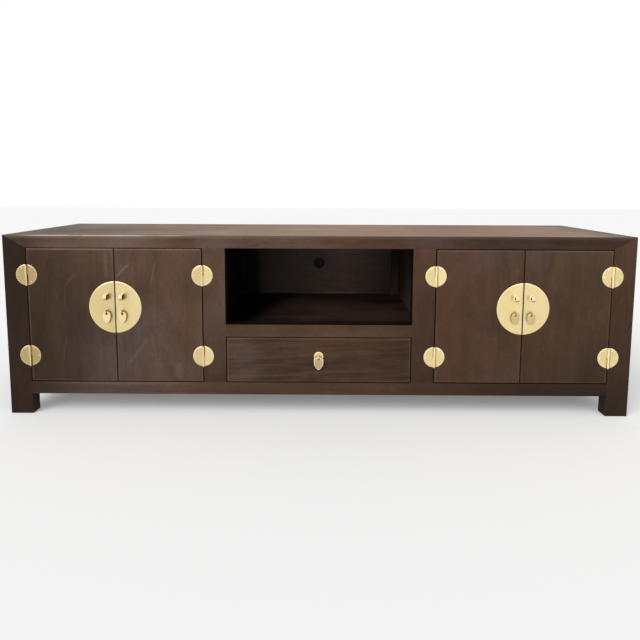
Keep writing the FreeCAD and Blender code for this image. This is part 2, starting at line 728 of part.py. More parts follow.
def make_low_rails(members):
    dividers = [members["left_divider"], members["right_divider"]]
    front_tools = [members["left_stile"], members["right_stile"], *dividers, members["board"]]
    name_node(cut("low_front_cut", members["low_front"], front_tools), "front_bottom_rail")
    rear_tools = [members["back"], *dividers, members["board"]]
    name_node(cut("low_rear_cut", members["low_rear"], rear_tools), "rear_bottom_rail")
    sides = [cut(f"low_{word}_cut", members[f"low_{word}"], [members[f"{word}_panel"], members["board"]])
             for word in SIDES]
    name_node(group("low_sides", sides), "side_bottom_rails")
    name_node(cut("middle_cut", members["middle"], [members["shelf"]]), "middle_rail")


def make_uprights(members, tacks):
    for word in SIDES:
        divider = members[f"{word}_divider"]
        tools = [members["middle"], members["shelf"], divider, tacks[f"{word}_inner"]]
        name_node(cut(f"{word}_stile_cut", members[f"{word}_stile"], tools), f"{word}_front_stile")
        name_node(cut(f"{word}_divider_cut", divider, [members["shelf"]]), f"{word}_divider")
        name_node(members[f"{word}_panel"], f"{word}_side_panel")
    rear = [cut(f"{word}_rear_stile_cut", members[f"{word}_rear_stile"], [members[f"{word}_divider"]])
            for word in SIDES]
    name_node(group("rear_stile_pair", rear), "rear_stiles")


# The roof is three boards whose tongues run in the frame and whose joints lie on battens
def make_roof():
    joints = [f"-{BAY_OUTER}", f"-{STILE_MIDDLE}", STILE_MIDDLE, BAY_OUTER]
    ends = [f"{joints[0]} - groove_depth", *joints[1:3], f"{joints[3]} + groove_depth"]
    boards = []
    for part, word in enumerate(("left", "middle", "right")):
        board = block(f"{word}_roof", joints[part:part + 2], INSIDE_SPAN, (ROOF_BOTTOM, "height"))
        tongue = block(f"{word}_roof_tongue", ends[part:part + 2], grooved(INSIDE_SPAN), roof_tongue_span())
        boards.append(joined(f"{word}_roof_board", [board, tongue]))
    name_node(group("roof_boards", boards), "top_boards")
    battens = []
    for word, side in SIDES.items():
        for place, middle in (("inner", STILE_MIDDLE), ("outer", BAY_MIDDLE)):
            xs = mirrored(grown((middle, middle), "batten_width / 2"), side)
            battens.append(block(f"{word}_{place}_batten", xs, INSIDE_SPAN, (BAY_TOP, ROOF_BOTTOM)))
    name_node(group("battens", battens), "top_battens")


# Bearers under the drawer and guides beside it
def make_runners():
    bearer_x = (f"{NICHE_SIDE} - drawer_side_gap - drawer_side_thickness", DIVIDER_INNER)
    guide_x = (f"{NICHE_SIDE} - drawer_side_gap + drawer_slide_gap", DIVIDER_INNER)
    guide_z = (BAY_BOTTOM, f"{BAY_BOTTOM} + runner_rise")
    pieces = []
    for word, side in SIDES.items():
        pieces.append(block(f"{word}_bearer", mirrored(bearer_x, side), INSIDE_SPAN, (BOARD_TOP, BAY_BOTTOM)))
        pieces.append(block(f"{word}_guide", mirrored(guide_x, side), INSIDE_SPAN, guide_z))
    name_node(group("runners", pieces), "drawer_runners")


# Strips behind the top and bottom of each pair of doors
def make_door_stops():
    ys = (f"{DOOR_BACK} + stop_clearance", INSIDE_FRONT)
    levels = {"upper": (f"{BAY_TOP} - stop_width", BAY_TOP),
              "lower": (BAY_BOTTOM, f"{BAY_BOTTOM} + stop_width")}
    pieces = [block(f"{word}_{level}_stop", mirrored((BAY_INNER, BAY_OUTER), side), ys, zs)
              for word, side in SIDES.items() for level, zs in levels.items()]
    name_node(group("stops", pieces), "door_stops")


def make_carcass(tacks):
    members = draw_members()
    outline = make_outline()
    make_legs(members, outline, tacks)
    make_top_rails(members, outline)
    make_low_rails(members)
    make_uprights(members, tacks)
    name_node(members["board"], "bottom_board")
    name_node(members["shelf"], "niche_shelf")
    name_node(members["back"], "back_panel")
    make_roof()
    make_runners()
    make_door_stops()


# The drawer, whose bottom runs in grooves of its front, sides and back
def make_drawer():
    groove = "drawer_side_thickness / 2"
    box_side = f"({NICHE_SIDE} - drawer_side_gap)"
    box_inside = f"({box_side} - drawer_side_thickness)"
    box_end = f"({BACK_INSIDE} - drawer_back_clearance)"
    box_bottom = f"({BAY_BOTTOM} + drawer_slide_gap)"
    box_z = (box_bottom, f"{box_bottom} + drawer_box_height")
    floor_low = f"{box_bottom} + drawer_bottom_rise"
    floor = block("drawer_floor", grown(both_ways(box_inside), groove),
                  (f"{DOOR_BACK} - {groove}", f"{box_end} - {groove}"),
                  (floor_low, f"{floor_low} + drawer_bottom_thickness"))
    ring = pull_ring("drawer_ring", "0", PULL_MIDDLE)
    front = front_board("drawer_board", grown(both_ways(NICHE_SIDE), "-door_gap"),
                        grown((BAY_BOTTOM, DRAWER_TOP), "-door_gap"))
    sides = [cut(f"drawer_{word}_cut",
                 block(f"drawer_{word}", mirrored((box_inside, box_side), side), (DOOR_BACK, box_end), box_z),
                 [floor])
             for word, side in SIDES.items()]
    back = block("drawer_end", both_ways(box_inside), (f"{box_end} - drawer_side_thickness", box_end), box_z)
    name_node(cut("drawer_front_cut", front, [floor, ring]), "drawer_front")
    name_node(group("drawer_side_pair", sides), "drawer_sides")
    name_node(cut("drawer_back_cut", back, [floor]), "drawer_back")
    name_node(floor, "drawer_bottom")
    plate = round_plate("drawer_rose", "backplate_radius", "0", PULL_MIDDLE)
    name_node(cut("drawer_rose_cut", plate, [ring]), "drawer_backplate")
    name_node(ring, "drawer_pull_ring")
    name_node(pendant("drawer_hanger", "shield", "0", PULL_MIDDLE), "drawer_pendant")


def make_cabinet():
    fill_sheet()
    frame_solids = []
    pins = []
    tacks = {}
    for word in SIDES:
        for place in ("outer", "inner"):
            leaves, leaf_tacks, door_pins = make_door(word, place)
            frame_solids += leaves + leaf_tacks
            pins += door_pins
            tacks[f"{word}_{place}"] = group(f"{word}_{place}_frame_tacks", leaf_tacks)
    make_carcass(tacks)
    make_drawer()
    name_node(group("frame_leaves", frame_solids), "hinge_frame_leaves")
    name_node(group("pins", pins), "hinge_pins")
    doc.recompute()


def check_document():
    failed = [piece.Label for piece in doc.Objects if "Invalid" in piece.State or "Error" in piece.State]
    empty = [piece.Label for piece in nodes
             if piece.Shape.isNull() or not piece.Shape.isValid() or not piece.Shape.Solids]
    if failed or empty:
        raise RuntimeError(f"not computed: {failed}; no valid solid: {empty}")


def export_parts():
    os.makedirs("parts", exist_ok=True)
    for piece in nodes:
        piece.Shape.exportStep(f"parts/{piece.Label}.step")
        print(piece.Label, len(piece.Shape.Solids), round(piece.Shape.Volume))
    print(len(nodes), "nodes")


make_cabinet()
check_document()
export_parts()
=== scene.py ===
import math

import bpy
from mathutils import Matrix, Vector


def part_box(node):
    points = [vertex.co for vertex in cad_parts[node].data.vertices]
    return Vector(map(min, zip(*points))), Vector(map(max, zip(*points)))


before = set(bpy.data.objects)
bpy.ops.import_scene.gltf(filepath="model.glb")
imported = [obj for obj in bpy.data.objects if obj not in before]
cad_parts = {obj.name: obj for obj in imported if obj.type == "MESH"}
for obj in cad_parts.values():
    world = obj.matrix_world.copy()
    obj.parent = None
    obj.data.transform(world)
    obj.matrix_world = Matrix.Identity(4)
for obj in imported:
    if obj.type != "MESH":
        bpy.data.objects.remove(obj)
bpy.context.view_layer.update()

MILLIMETRE = 0.001
AXES = "XYZ"
WHITE = (1, 1, 1, 1)

# The photograph is a 640 pixel square, taken with a phone from in front of the cabinet
PHOTO_SIZE = 640
FOCAL_PIXELS = 494.25
PRINCIPAL_X = 318.2
PRINCIPAL_Y = 236.0
SENSOR_WIDTH_MM = 36.0
CAMERA_PLACE = Vector((0.0036, -1.6051, 0.6584))
CAMERA_PITCH = math.radians(-5.48)
CAMERA_YAW = math.radians(0.272)
CAMERA_ROLL = math.radians(-0.212)

# How strongly the white world lights the cabinet
WORLD_LIGHT = 0.50
# The suns: their strength and, in degrees, their softness, azimuth and elevation
SUNS = {"key": (1.6, 40, -42, 38), "fill": (0.4, 40, 35, 30)}
# The pale floor: its side, its grey, and a glow that is seen but lights nothing
FLOOR_SIZE = 30.0
FLOOR_GREY = (0.86, 0.86, 0.86)
FLOOR_GLOW = 0.18

# The browns that the stain drifts between, and three more that only its clouds lean to
UMBER = (0.058, 0.035, 0.022)
BROWN = (0.084, 0.045, 0.026)
RED_BROWN = (0.106, 0.053, 0.033)
MAUVE = (0.112, 0.074, 0.060)
PLUM = (0.088, 0.060, 0.051)
OLIVE = (0.074, 0.049, 0.023)
RUST = (0.098, 0.047, 0.027)
# Pale wear where hands have worn it, also used for painted highlights; the painted sheen on the whole
# top, whose ends stay greyer; and the painted highlight on the top's front arris
PALE_WEAR_AND_HIGHLIGHT = (0.26, 0.18, 0.135)
TOP_SHEEN = (0.235, 0.150, 0.076)
TOP_SHEEN_PINK = (0.245, 0.140, 0.085)
TOP_END = (0.075, 0.062, 0.045)
ARRIS_HIGHLIGHT = (0.52, 0.44, 0.36)
# Dirt with painted shade in the joints, and the grey that deep shade lends to wood, painted on inside
# the niche
DIRT_AND_SHADE = (0.016, 0.005, 0.001)
DUSK = (0.106, 0.080, 0.069)
# Painted shade behind the cable hole
HOLE_SHADE = (0.030, 0.024, 0.022)

# Unstained wood, from its late wood to its early wood, and its pores
PLAIN_DARK = (0.125, 0.074, 0.043)
PLAIN_PALE = (0.250, 0.165, 0.104)
PLAIN_PORE = (0.070, 0.040, 0.025)

# Brass: its face, paler and warmer kinds of it, its painted highlight, partly rubbed bright, and what
# glints
BRASS = (0.76, 0.62, 0.30)
BRASS_PALE = (0.82, 0.66, 0.35)
BRASS_WARM = (0.80, 0.58, 0.26)
BRASS_HIGHLIGHT = (0.92, 0.78, 0.52)
BRASS_GLINT = (1.0, 0.88, 0.56)
# Its painted shade: on walls and on the hinges; and grime with painted shadow behind the left pendants
BRASS_WALL_SHADE = (0.110, 0.050, 0.012)
BRASS_BROWN_SHADE = (0.26, 0.16, 0.045)
GRIME_AND_SHADOW = (0.20, 0.13, 0.055)
# The lock eyes: their face, their left side painted paler against the plate's yellow light and their
# painted shade, and how metallic they are, as they reflect little but their dark surroundings
EYE_BRIGHT = (0.92, 0.76, 0.42)
EYE_LIT_SIDE = (0.92, 0.88, 0.65)
EYE_BROWN = (0.165, 0.100, 0.024)
EYE_METAL = 0.15

# Each stained piece: the axis of its grain, its tone, how red it is and how cool
STAINED = {
    # The front left leg's low tone is painted shade
    "front_left_leg": ("Z", 0.31, 0.0),
    "front_right_leg": ("Z", 1.0, 0.05),
    "rear_left_leg": ("Z", 0.6, 0.0),
    "rear_right_leg": ("Z", 0.6, 0.0),
    "left_front_stile": ("Z", 0.94, 0.0, 0.3),
    "right_front_stile": ("Z", 1.0, 0.05),
    "rear_stiles": ("Z", 0.3, 0.0),
    "front_top_rail": ("X", 0.92, 0.02, 0.6),
    "rear_top_rail": ("X", 0.9, 0.0),
    "left_top_rail": ("Y", 0.9, 0.0),
    "right_top_rail": ("Y", 0.9, 0.0),
    "top_boards": ("X", 0.9, 0.0),
    "front_bottom_rail": ("X", 0.92, 0.02, 0.1),
    "rear_bottom_rail": ("X", 0.8, 0.0),
    "side_bottom_rails": ("Y", 0.8, 0.0),
    "middle_rail": ("X", 0.95, 0.04),
    "left_side_panel": ("Z", 0.8, 0.0),
    "right_side_panel": ("Z", 0.8, 0.02),
    # Painted light in the niche: the left divider's low tone is painted shade on the niche's left wall,
    # the right divider's high one lights its right wall
    "left_divider": ("Z", 0.08, 0.0),
    "right_divider": ("Z", 1.15, -0.1, 0.6),
    "bottom_board": ("X", 0.6, 0.0),
    "niche_shelf": ("X", 0.48, 0.3),
    "back_panel": ("X", 1.7, -0.2, 0.6),
    "left_outer_door_panel": ("Z", 0.86, -0.06, 0.15),
    "left_inner_door_panel": ("Z", 1.02, 0.0, 0.4),
    "right_inner_door_panel": ("Z", 0.86, 0.08),
    "right_outer_door_panel": ("Z", 1.0, 0.04),
    "drawer_front": ("X", 1.06, 0.04),
}
# Each piece of unstained wood and the axis of its grain
PLAIN = {"drawer_sides": "Y", "drawer_back": "X", "drawer_bottom": "X", "drawer_runners": "Y",
         "top_battens": "Y", "door_stops": "X"}
TOPS = ("front_top_rail", "rear_top_rail", "left_top_rail", "right_top_rail", "top_boards")
# What shows inside the niche, and how far the shade in there takes its own colour away
IN_NICHE = {"back_panel": 0.65, "niche_shelf": 0.40, "rear_stiles": 0.6}
# Frame pieces whose sides that look into the niche are painted into shade
SHADED_NICHE_SIDES = ("left_front_stile", "right_front_stile", "middle_rail", "front_top_rail")
# Where the niche's floor gets out of the dark at its front, and how much further right at its back
SHELF_DARK_TO = -0.25
SHELF_LIT_FROM = -0.15
SHELF_LEAN = 0.12
# Places across the niche's back and the light there, and where the left compartment's back begins
NICHE_BACK_LIGHT = (
    (-0.232, 0.02), (-0.205, 0.38), (-0.06, 0.62), (0.09, 1.2), (0.17, 1.0), (0.268, 0.58),
)
COMPARTMENT_FROM = -0.34

# How a piece's tone drifts: along which axis, and its lights from end to end
FADED = {
    "front_right_leg": (("Z", 0.38, 0.88),),
    "left_front_stile": (("Z", 0.63, 0.87, 1.17, 1.38, 1.24),),
    "right_front_stile": (("Z", 0.64, 0.70, 0.74, 0.96, 0.82),),
    "front_top_rail": (("X", 0.92, 1.34, 1.52, 1.14, 1.34, 1.06, 0.60, 0.65, 0.61),),
    "front_bottom_rail": (("X", 0.56, 1.12, 0.98, 0.64, 0.33),),
    "middle_rail": (("X", 1.02, 1.10, 1.16, 0.85),),
    "left_outer_door_panel": (("X", 0.54, 0.82, 1.10), ("Z", 0.98, 1.0, 0.97, 1.06, 1.62)),
    "right_outer_door_panel": (("Z", 0.60, 0.70, 0.80, 0.92, 1.10),),
    "drawer_front": (("X", 0.80, 0.66, 0.60),),
    # Painted shade in the niche: its right wall darker towards its top, and the rear stiles darker
    # towards their top, where they show in it
    "right_divider": (("Z", 1.5, 0.4),),
    "rear_stiles": (("Z", 9.0, 9.0, 9.0, 2.3, 1.0),),
}
# The lights of the top's painted sheen from end to end, and the tones of its three boards
TOP_SHEEN_LIGHTS = (0.40, 0.88, 1.06, 1.0, 1.36)
BOARD_TONES = (0.88, 0.98, 0.86)
# Places along the top's front arris and how strong its painted highlight is there
ARRIS_HIGHLIGHT_SHARES = ((-0.88, 0.0), (-0.80, 1.0), (-0.48, 1.0), (-0.30, 0.10))

# Clouds in the stain: their middle, lean, length and width in millimetres, strength and colour
CLOUDS = {
    "left_outer_door_panel": (
        (-780, 300, 0, 330, 150, 0.5, OLIVE),
        (-612, 150, 0, 210, 190, 1.0, PLUM),
        (-690, 190, 20, 200, 110, 0.4, PLUM),
    ),
    "left_inner_door_panel": (
        (-535, 215, 0, 300, 170, 0.8, PLUM),
        (-460, 250, 10, 260, 130, 0.5, MAUVE),
        (-390, 400, 0, 330, 170, 0.2, RUST),
    ),
    "right_inner_door_panel": (
        (372, 240, 0, 420, 190, 0.8, RUST),
        (465, 470, 0, 150, 330, 0.4, PLUM),
        (540, 190, 0, 330, 170, 0.6, UMBER),
    ),
    "right_outer_door_panel": (
        (620, 455, 0, 170, 150, 0.3, PLUM),
        (740, 380, 0, 260, 210, 0.4, OLIVE),
        (690, 220, 0, 200, 200, 0.5, OLIVE),
        (790, 150, 0, 300, 170, 0.7, UMBER),
    ),
    "front_top_rail": (
        (-560, 507, 0, 160, 420, 0.8, MAUVE),
        (100, 507, 0, 160, 420, 0.5, RUST),
        (310, 507, 0, 160, 150, 0.4, PLUM),
        (-760, 507, 0, 160, 220, 0.9, MAUVE),
        (-850, 507, 0, 160, 120, 0.7, UMBER),
    ),
    "front_bottom_rail": ((-590, 78, 0, 160, 560, 0.9, MAUVE), (150, 78, 0, 160, 900, 0.5, RUST)),
    "front_right_leg": ((870, 230, 0, 380, 200, 0.6, RUST),),
    "right_front_stile": ((285, 230, 0, 420, 160, 0.5, RUST),),
    "drawer_front": ((-215, 160, 0, 200, 150, 0.6, PLUM),),
    "middle_rail": ((20, 250, 0, 160, 260, 0.5, RUST),),
}
# Single pale marks: their middle, their lean, length and width in millimetres, and their strength. On
# the doors they are scuffs; on the back panel and the front bottom rail they are painted highlights,
# along the foot of the niche's back and along the rail's top edge
STROKES = {
    "back_panel": ((42, 271, 90, 260, 8, 0.6),),
    "front_bottom_rail": ((-584, 91.5, 90, 540, 9, 0.32),),
    "left_outer_door_panel": (
        (-608, 438, 2, 100, 16, 0.16), (-713, 394, 39, 60, 10, 0.16), (-729, 345, 3, 70, 9, 0.14),
        (-752, 347, -8, 60, 8, 0.12), (-655, 330, -28, 70, 9, 0.08), (-734, 199, 12, 90, 9, 0.12),
    ),
    "left_inner_door_panel": (
        (-559, 426, 44, 70, 9, 0.38), (-474, 416, 14, 90, 8, 0.20), (-404, 130, 3, 70, 34, 0.20),
        (-520, 190, 38, 130, 18, 0.14), (-352, 390, 18, 50, 7, 0.16),
    ),
}
# How far to either side a cloud or a stroke wanders
STROKE_WANDER = 6 * MILLIMETRE
# How strongly a front is scuffed all over, and how its scuffs lean, in degrees by even or odd seed
SCUFFED = {"left_outer_door_panel": 0.12, "left_inner_door_panel": 0.12, "right_inner_door_panel": 0.05,
           "right_outer_door_panel": 0.05, "drawer_front": 0.06}
SCUFF_LEANS = (-31, 24)
# How pale the left, right, bottom and top edges of a front are: wear, with a painted highlight along
# them
WORN_AND_LIT_EDGES = {
    "left_outer_door_panel": (0.40, 0.20, 0.20, 0.90),
    "left_inner_door_panel": (0.15, 0.60, 0.30, 0.80),
    "right_inner_door_panel": (0.30, 0.15, 0.15, 0.50),
    "right_outer_door_panel": (0.15, 0.20, 0.15, 0.45),
    "drawer_front": (0.40, 0.20, 0.15, 0.40),
}
WEAR_AND_HIGHLIGHT_WIDTH = 6 * MILLIMETRE
# How much dirt and painted shade the joint beyond each of those edges lays on a front or plate
JOINT_DIRT_AND_SHADE = {
    "left_outer_door_panel": (0.40, 0.20, 0.60, 0.0),
    "left_inner_door_panel": (0.20, 1.0, 0.70, 0.0),
    "right_inner_door_panel": (1.0, 0.30, 0.80, 0.60),
    "right_outer_door_panel": (0.40, 0.0, 0.80, 0.60),
    "drawer_front": (0.80, 0.60, 0.30, 0.60),
    "left_outer_face_plate": (0.0, 0.35, 0.0, 0.0),
    "left_inner_face_plate": (0.35, 0.0, 0.0, 0.0),
    "right_inner_face_plate": (0.0, 0.35, 0.0, 0.0),
    "right_outer_face_plate": (0.35, 0.0, 0.0, 0.0),
}
DIRT_AND_SHADE_WIDTH = 2.8 * MILLIMETRE

# The tone and warmth of brass, and of the brass pieces that differ: painted light and shade, each piece
# lighter or darker as the light falls on it
PLAIN_BRASS = (1.0, 0.0)
BRASS_LIT_TONES = {
    "left_outer_face_plate": (0.92, 0.10),
    "right_inner_face_plate": (1.10, 0.0),
    "right_outer_face_plate": (1.06, 0.0),
    "left_outer_door_hinge_leaves": (0.60, 1.0),
    "left_inner_door_hinge_leaves": (0.92, 0.2),
    "right_inner_door_hinge_leaves": (1.08, 0.0),
    "right_outer_door_hinge_leaves": (1.02, 0.0),
    "left_outer_pendant": (1.16, 0.0),
    "left_inner_pendant": (1.16, 0.0),
    "right_inner_pendant": (0.82, 0.3),
    "right_outer_pendant": (0.82, 0.3),
    "left_outer_pull_ring": (0.10, 0.5),
    "left_inner_pull_ring": (0.10, 0.5),
    "right_inner_pull_ring": (0.40, 0.0),
    "right_outer_pull_ring": (0.40, 0.0),
    "left_outer_lock_eye": (1.08, 0.0),
    "left_inner_lock_eye": (1.08, 0.0),
    "drawer_pendant": (0.68, 0.0),
    "drawer_backplate": (1.05, 0.0),
}
# How strongly a plate differs behind its pendant, its colour there and how far below it lies: grime with
# painted shadow on the left plates, painted light on the right ones
BEHIND_PENDANT_SHADOW_AND_LIGHT = {
    "left_outer_face_plate": (0.85, GRIME_AND_SHADOW, 2 * MILLIMETRE),
    "left_inner_face_plate": (0.85, GRIME_AND_SHADOW, 2 * MILLIMETRE),
    "right_inner_face_plate": (0.8, BRASS_HIGHLIGHT, 0.0),
    "right_outer_face_plate": (0.8, BRASS_HIGHLIGHT, 0.0),
}
# Places along the front and how light the frame's hinge leaves are there, and how warm
HINGE_LIGHT = ((-0.80, 0.63), (-0.50, 1.05), (0.50, 1.05), (0.80, 1.0))
HINGE_WARMTH = ((-0.80, 1.0), (-0.50, 0.0))
# The pieces to the left and right of the right hinges' barrels
RIGHT_BARRELS = (
    ("right_front_stile", "right_inner_door_panel"),
    ("right_outer_door_panel", "front_right_leg"),
)
# Places to the right of a barrel's axis and how strong the shade is there
BARREL_SHADE = (
    (2.2 * MILLIMETRE, 0.0), (4.2 * MILLIMETRE, 0.5), (6.2 * MILLIMETRE, 0.5), (7.7 * MILLIMETRE, 0.0),
)


# Nodes of a material's tree
def fill(tree, node, inputs):
    """Gives each input of a node its value, or links it to the socket of another node."""
    for key, value in inputs.items():
        if isinstance(value, bpy.types.NodeSocket):
            tree.links.new(value, node.inputs[key])
        else:
            node.inputs[key].default_value = value


def add(tree, kind, inputs=(), **settings):
    node = tree.nodes.new(kind)
    for name, value in settings.items():
        setattr(node, name, value)
    fill(tree, node, dict(inputs))
    return node


def rgb(colour):
    """A colour with the fourth value that a colour socket takes."""
    return (*colour, 1)


def calc(tree, operation, first, second=0.0):
    return add(tree, "ShaderNodeMath", {0: first, 1: second}, operation=operation).outputs[0]


def product(tree, *values):
    result = values[0]
    for value in values[1:]:
        result = calc(tree, "MULTIPLY", result, value)
    return result


def spread(tree, value, low, high, to_low=0.0, to_high=1.0, smooth=False):
    """Runs from one value at the low end to another at the high end, and holds them beyond."""
    inputs = {"Value": value, "From Min": low, "From Max": high, "To Min": to_low, "To Max": to_high}
    kind = "SMOOTHSTEP" if smooth else "LINEAR"
    return add(tree, "ShaderNodeMapRange", inputs, interpolation_type=kind).outputs[0]


def through(tree, place, stops):
    """A value that runs straight from one stop to the next: each is a place and the value there."""
    result = stops[0][1]
    for (start, before), (end, after) in zip(stops, stops[1:]):
        result = calc(tree, "ADD", result, spread(tree, place, start, end, 0.0, after - before))
    return result


def blend(tree, share, first, second, mode="MIX"):
    """Mixes two colours: their sockets are the node's inputs 6 and 7 and its output 2."""
    inputs = {0: share, 6: first, 7: second}
    return add(tree, "ShaderNodeMix", inputs, data_type="RGBA", blend_type=mode).outputs[2]


def shaded(tree, colour, light):
    grey = add(tree, "ShaderNodeCombineXYZ", {0: light, 1: light, 2: light}).outputs[0]
    return blend(tree, 1.0, colour, grey, "MULTIPLY")


def parts_of(tree, vector):
    return add(tree, "ShaderNodeSeparateXYZ", {0: vector}).outputs


def mapped(tree, coords, **changes):
    return add(tree, "ShaderNodeMapping", {"Vector": coords, **changes}).outputs[0]


def turned(tree, coords, degrees):
    """Coordinates turned in the plane of the cabinet's front."""
    return mapped(tree, coords, Rotation=(0, math.radians(degrees), 0))


def noise(tree, coords, scale, detail=3.0, roughness=0.5, distortion=0.0):
    inputs = {"Vector": coords, "Scale": scale, "Detail": detail, "Roughness": roughness,
              "Distortion": distortion}
    return add(tree, "ShaderNodeTexNoise", inputs).outputs[0]


def grained(tree, coords, along, share, seed, *settings):
    """Noise that runs slower along the grain, moved by its seed so that no two pieces match.

    The layers of one material add different numbers to its seed, so they don't match either.
    """
    scale = [1.0, 1.0, 1.0]
    scale[AXES.index(along)] = share
    shift = (seed * 1.37, seed * 2.11, seed * 0.83)
    return noise(tree, mapped(tree, coords, Location=shift, Scale=scale), *settings)


def bump(tree, height, strength, distance):
    inputs = {"Strength": strength, "Distance": distance, "Height": height}
    return add(tree, "ShaderNodeBump", inputs).outputs[0]


def start_material(name):
    material = bpy.data.materials.new(name)
    material.use_nodes = True
    tree = material.node_tree
    shader = next(node for node in tree.nodes if node.type == "BSDF_PRINCIPLED")
    return material, tree, shader


def own_coords(tree):
    """Coordinates that ride with the piece, equal to its place when everything is shut."""
    return add(tree, "ShaderNodeTexCoord").outputs["Object"]


def own_normal(tree):
    """The three parts of the direction that a face of the piece looks in."""
    return parts_of(tree, add(tree, "ShaderNodeTexCoord").outputs["Normal"])


# Places on a piece
def near_edges(tree, coords, node, strengths, width):
    """How near the left, right, bottom or top edge of a front is: each edge has its strength."""
    low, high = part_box(node)
    place = parts_of(tree, coords)
    edges = ((0, low, 1), (0, high, -1), (2, low, 1), (2, high, -1))
    share = 0.0
    for (axis, corner, sign), strength in zip(edges, strengths):
        away = product(tree, calc(tree, "SUBTRACT", place[axis], corner[axis]), sign)
        share = calc(tree, "MAXIMUM", share, spread(tree, away, 0.0, width, strength, 0.0))
    return share


def beyond(tree, coords, node, inner, outer, drop=0.0):
    """0 well inside the oval round a node, seen from the front and lowered by a drop, and 1 outside."""
    low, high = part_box(node)
    place = parts_of(tree, coords)
    total = 0.0
    for axis, lowered in ((0, 0.0), (2, drop)):
        middle = (low[axis] + high[axis]) / 2 - lowered
        half = (high[axis] - low[axis]) / 2
        away = calc(tree, "DIVIDE", calc(tree, "SUBTRACT", place[axis], middle), half)
        total = calc(tree, "ADD", total, product(tree, away, away))
    return spread(tree, total, inner, outer, smooth=True)


def fade_light(tree, coords, axis, node, lights):
    """A drift of tone along a node, through lights that stand evenly from end to end."""
    number = AXES.index(axis)
    low, high = (corner[number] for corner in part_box(node))
    step = (high - low) / (len(lights) - 1)
    stops = [(low + count * step, light) for count, light in enumerate(lights)]
    return through(tree, parts_of(tree, coords)[number], stops)


def stroke(tree, coords, x, z, degrees, length, width):
    """One soft mark on a front: its middle, its lean from upright and its size in millimetres."""
    centred = mapped(tree, coords, Location=(-x * MILLIMETRE, 0, -z * MILLIMETRE))
    place = parts_of(tree, turned(tree, centred, -degrees))
    unevenness = calc(tree, "SUBTRACT", noise(tree, coords, 30.0, 2.0), 0.5)
    aside = calc(tree, "ADD", place[0], product(tree, unevenness, STROKE_WANDER))
    half_width = width * MILLIMETRE / 2
    half_length = length * MILLIMETRE / 2
    across = spread(tree, calc(tree, "ABSOLUTE", aside), half_width, 0.0, smooth=True)
    upward = calc(tree, "ABSOLUTE", place[2])
    return product(tree, across, spread(tree, upward, half_length, half_length * 0.4, smooth=True))


def marked(tree, coords, colour, place, strength, other):
    """A colour that leans to another one where a stroke lies."""
    return blend(tree, product(tree, stroke(tree, coords, *place), strength), colour, rgb(other))


# The grain of the wood
def fibres(tree, coords, along, seed):
    return grained(tree, coords, along, 0.045, seed, 62.0, 5.0, 0.6)


def growth_lines(tree, coords, along, seed):
    """Thin dark lines of late wood that arch along the board and fade out in places."""
    contour = grained(tree, coords, along, 0.17, seed, 4.6, 1.5, 0.45, 0.5)
    line_density = 74.0
    wave = calc(tree, "SINE", product(tree, contour, line_density))
    line = spread(tree, wave, 0.25, 1.0, smooth=True)
    clear = grained(tree, coords, along, 0.5, seed + 5, 5.0, 2.0)
    return product(tree, line, spread(tree, clear, 0.40, 0.62, smooth=True))


def pores(tree, coords, along, seed):
    """Short dark dashes where the stain sits in the open grain."""
    fine = grained(tree, coords, along, 0.03, seed + 7, 620.0, 2.0, 0.5)
    return spread(tree, fine, 0.60, 0.72, smooth=True)


# The stain
def stain_colour(tree, coords, along, seed, red, cool):
    """Blotches where the stain took more or less, with a redder and a cooler drift under them."""
    drift = grained(tree, coords, along, 0.42, seed, 6.5, 3.0, 0.55)
    colour = blend(tree, spread(tree, drift, 0.34, 0.66), rgb(UMBER), rgb(BROWN))
    tint = grained(tree, coords, along, 0.6, seed + 3, 4.5, 2.0)
    redder = spread(tree, tint, 0.42 - red, 0.76 - red, 0.0, 0.9, smooth=True)
    colour = blend(tree, redder, colour, rgb(RED_BROWN))
    faded = grained(tree, coords, along, 0.6, seed + 37, 5.5, 2.0)
    cooler = spread(tree, faded, 0.36, 0.62, 0.0, cool, smooth=True)
    return blend(tree, cooler, colour, rgb(MAUVE))


def mottle(tree, coords, along, seed):
    patches = grained(tree, coords, along, 0.55, seed + 11, 21.0, 4.0, 0.6)
    return spread(tree, patches, 0.3, 0.7, 0.86, 1.14)


def speckle(tree, coords, along, seed):
    """The small unevenness of a stain wiped on by hand."""
    fine = grained(tree, coords, along, 0.7, seed + 29, 130.0, 3.0, 0.6)
    return spread(tree, fine, 0.3, 0.7, 0.91, 1.09)


def stain_light(tree, coords, node, along, seed, tone, grain):
    """How light the stain is, from its grain up to the drift of tone along the whole piece."""
    fibre, line, pore = grain
    streak = 0.17 if along == "X" and node not in IN_NICHE else 0.07
    light = product(tree, mottle(tree, coords, along, seed), speckle(tree, coords, along, seed),
                    spread(tree, fibre, 0.25, 0.75, 1.0 - streak, 1.0 + streak),
                    spread(tree, line, 0.0, 1.0, 1.02, 0.90),
                    spread(tree, pore, 0.0, 1.0, 1.0, 0.78), tone)
    for axis, *lights in FADED.get(node, ()):
        light = product(tree, light, fade_light(tree, coords, axis, node, lights))
    if node == "drawer_front":
        bands = grained(tree, turned(tree, coords, 3), along, 0.10, seed + 41, 75.0, 2.0)
        light = product(tree, light, spread(tree, bands, 0.35, 0.65, 0.76, 1.24))
    return light


def scuffs(tree, coords, seed):
    """Faint pale strokes that cross the grain where the front was rubbed."""
    slanted = turned(tree, coords, SCUFF_LEANS[seed % 2])
    strokes = grained(tree, slanted, "Z", 0.11, seed + 13, 46.0, 2.0)
    patch = grained(tree, coords, "Z", 0.8, seed + 17, 5.5, 2.0)
    return product(tree, spread(tree, strokes, 0.60, 0.74, smooth=True),
                   spread(tree, patch, 0.50, 0.64, smooth=True))


